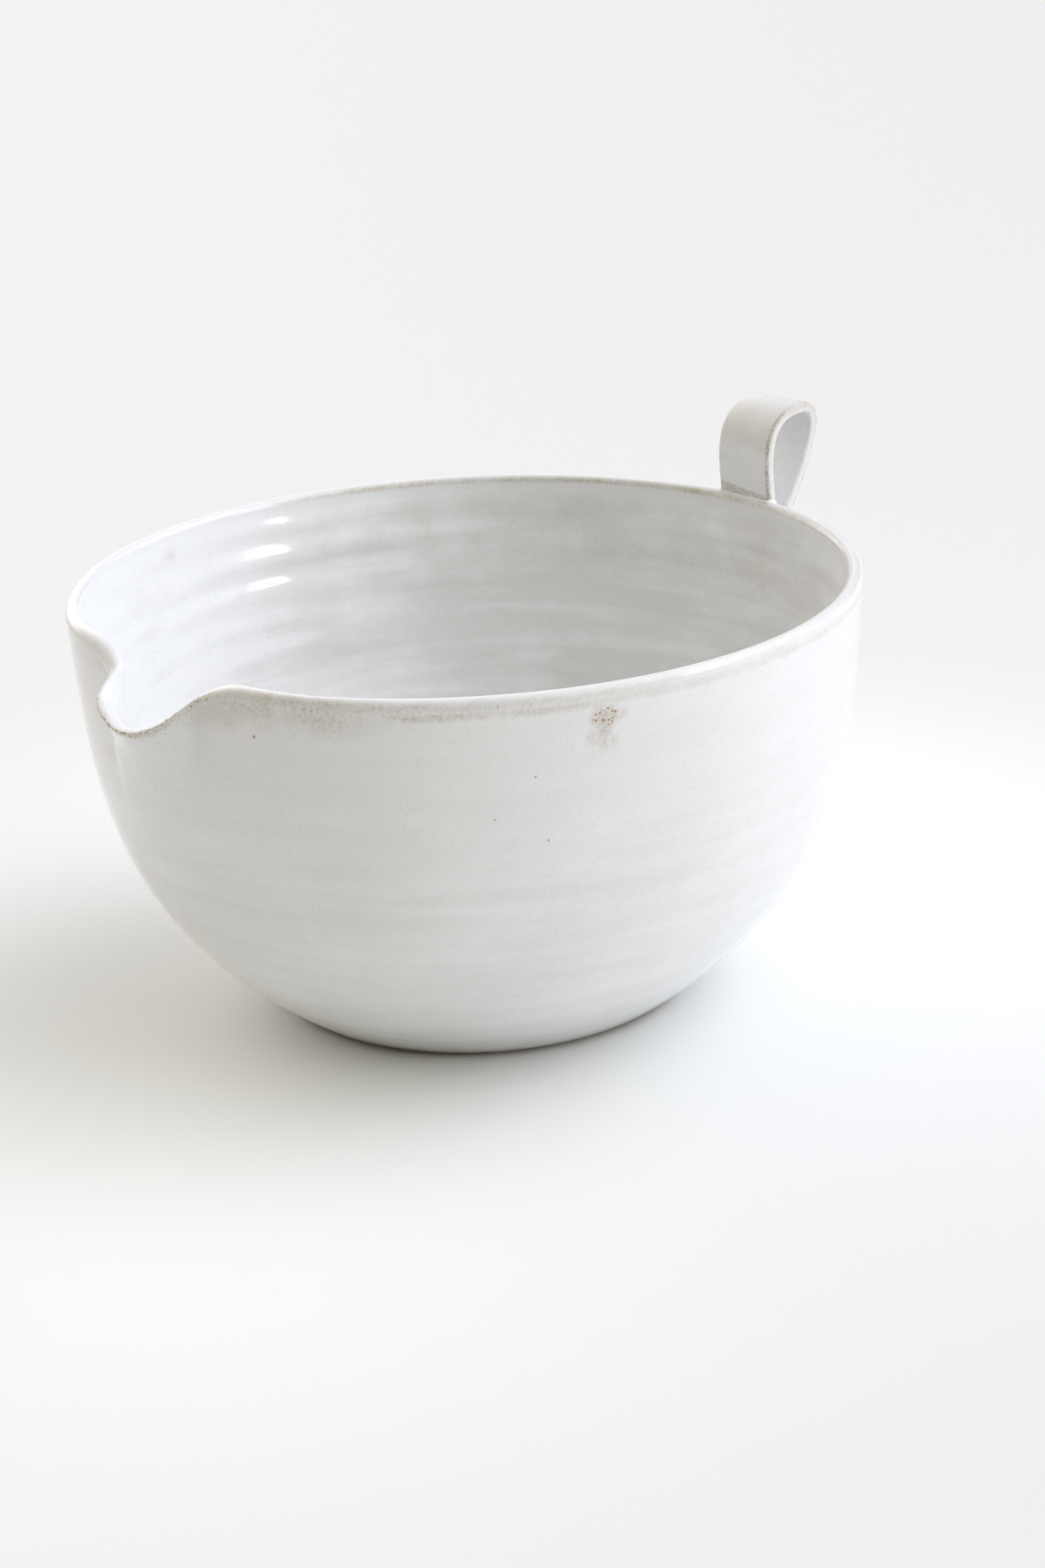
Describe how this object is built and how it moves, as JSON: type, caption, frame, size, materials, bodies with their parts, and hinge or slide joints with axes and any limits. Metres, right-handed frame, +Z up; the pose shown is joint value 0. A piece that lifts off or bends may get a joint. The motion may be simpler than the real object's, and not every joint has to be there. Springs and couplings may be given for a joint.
{
  "type": "batter bowl",
  "caption": "Round glazed stoneware mixing bowl with a pulled pouring spout and an upright strap loop handle opposite it, for mixing and pouring batter.",
  "frame": {"origin": "centre of the foot ring's underside, on the surface that the bowl stands on", "axes": "+Z up along the bowl's axis, +X towards the spout, -X towards the handle"},
  "size_m": [0.2446, 0.22, 0.1477],
  "materials": {
    "bowl_glaze": "cool white satin gloss glaze on stoneware, tan where it breaks over edges, bare clay at the foot",
    "handle_glaze": "the same white glaze, tan along the strap's edges",
    "joint_glaze": "the same white glaze, thin and tan over the joint"
  },
  "bodies": {
    "root": {"bowl": "bowl_glaze", "handle": "handle_glaze", "rim_joint": "joint_glaze", "wall_joint": "joint_glaze"}
  },
  "joints": []
}
